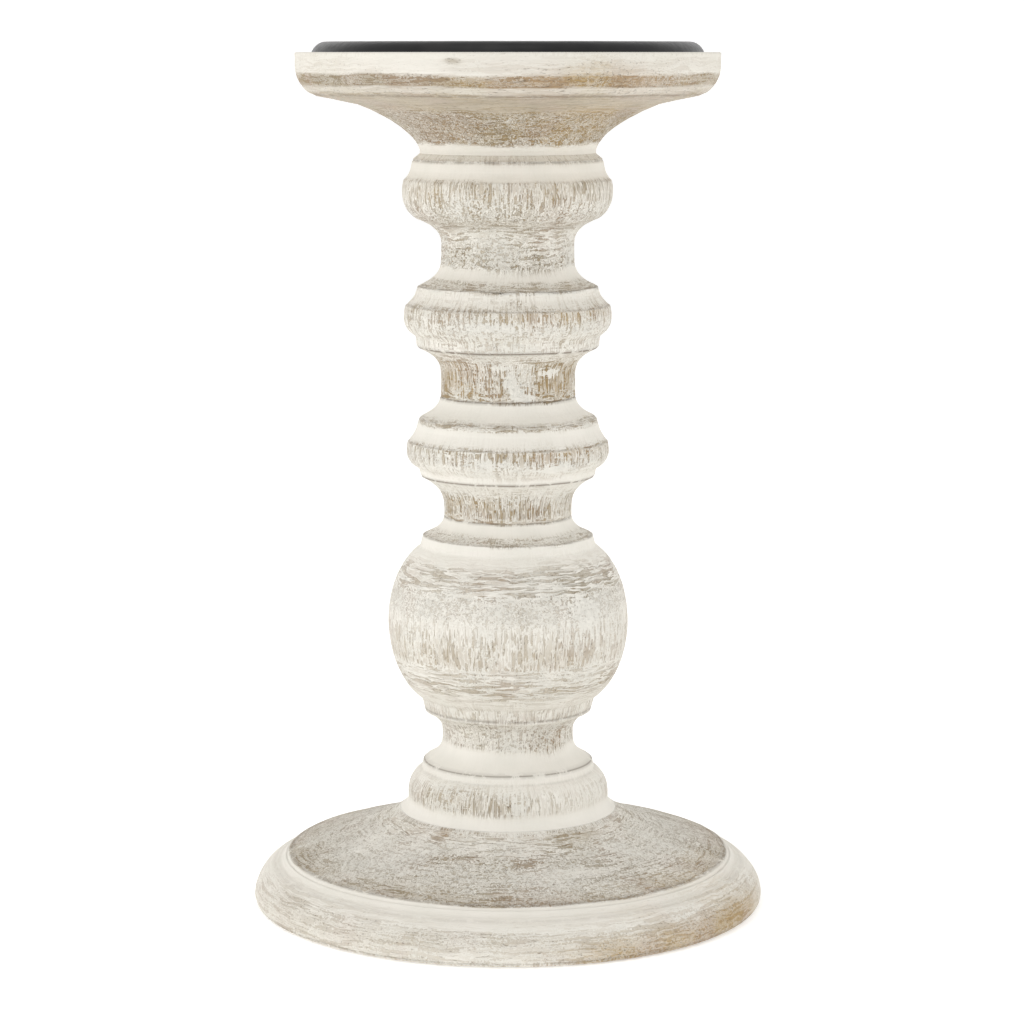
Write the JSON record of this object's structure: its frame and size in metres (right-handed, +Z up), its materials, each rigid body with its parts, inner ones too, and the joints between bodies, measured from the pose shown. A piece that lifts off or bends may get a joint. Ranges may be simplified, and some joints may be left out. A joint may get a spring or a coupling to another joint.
{
  "type": "candlestick",
  "caption": "Turned wooden pillar candlestick with a round domed base, a beaded stem and a wide cup that carries a shallow steel pan for a pillar candle.",
  "frame": {"origin": "centre of the underside, on the surface that the candlestick stands on", "axes": "+Z up along the turning axis, through the middle of the base, the stem and the cup; +X and +Y are any two square directions, since the piece is turned"},
  "size_m": [0.152, 0.152, 0.2545],
  "materials": {
    "whitewashed_wood": "chalky white wash rubbed back to grey-brown wood",
    "black_pan": "satin black enamel on pressed steel",
    "felt": "matt wool felt",
    "zinc_screw": "bright zinc plate",
    "black_screw": "blackened steel"
  },
  "bodies": {
    "root": {"base": "whitewashed_wood", "stem": "whitewashed_wood", "cup": "whitewashed_wood", "candle_pan": "black_pan", "felt_disc": "felt", "base_screw": "zinc_screw", "base_washer": "zinc_screw", "cup_screw": "zinc_screw", "cup_washer": "zinc_screw", "pan_screws": "black_screw"}
  },
  "joints": []
}
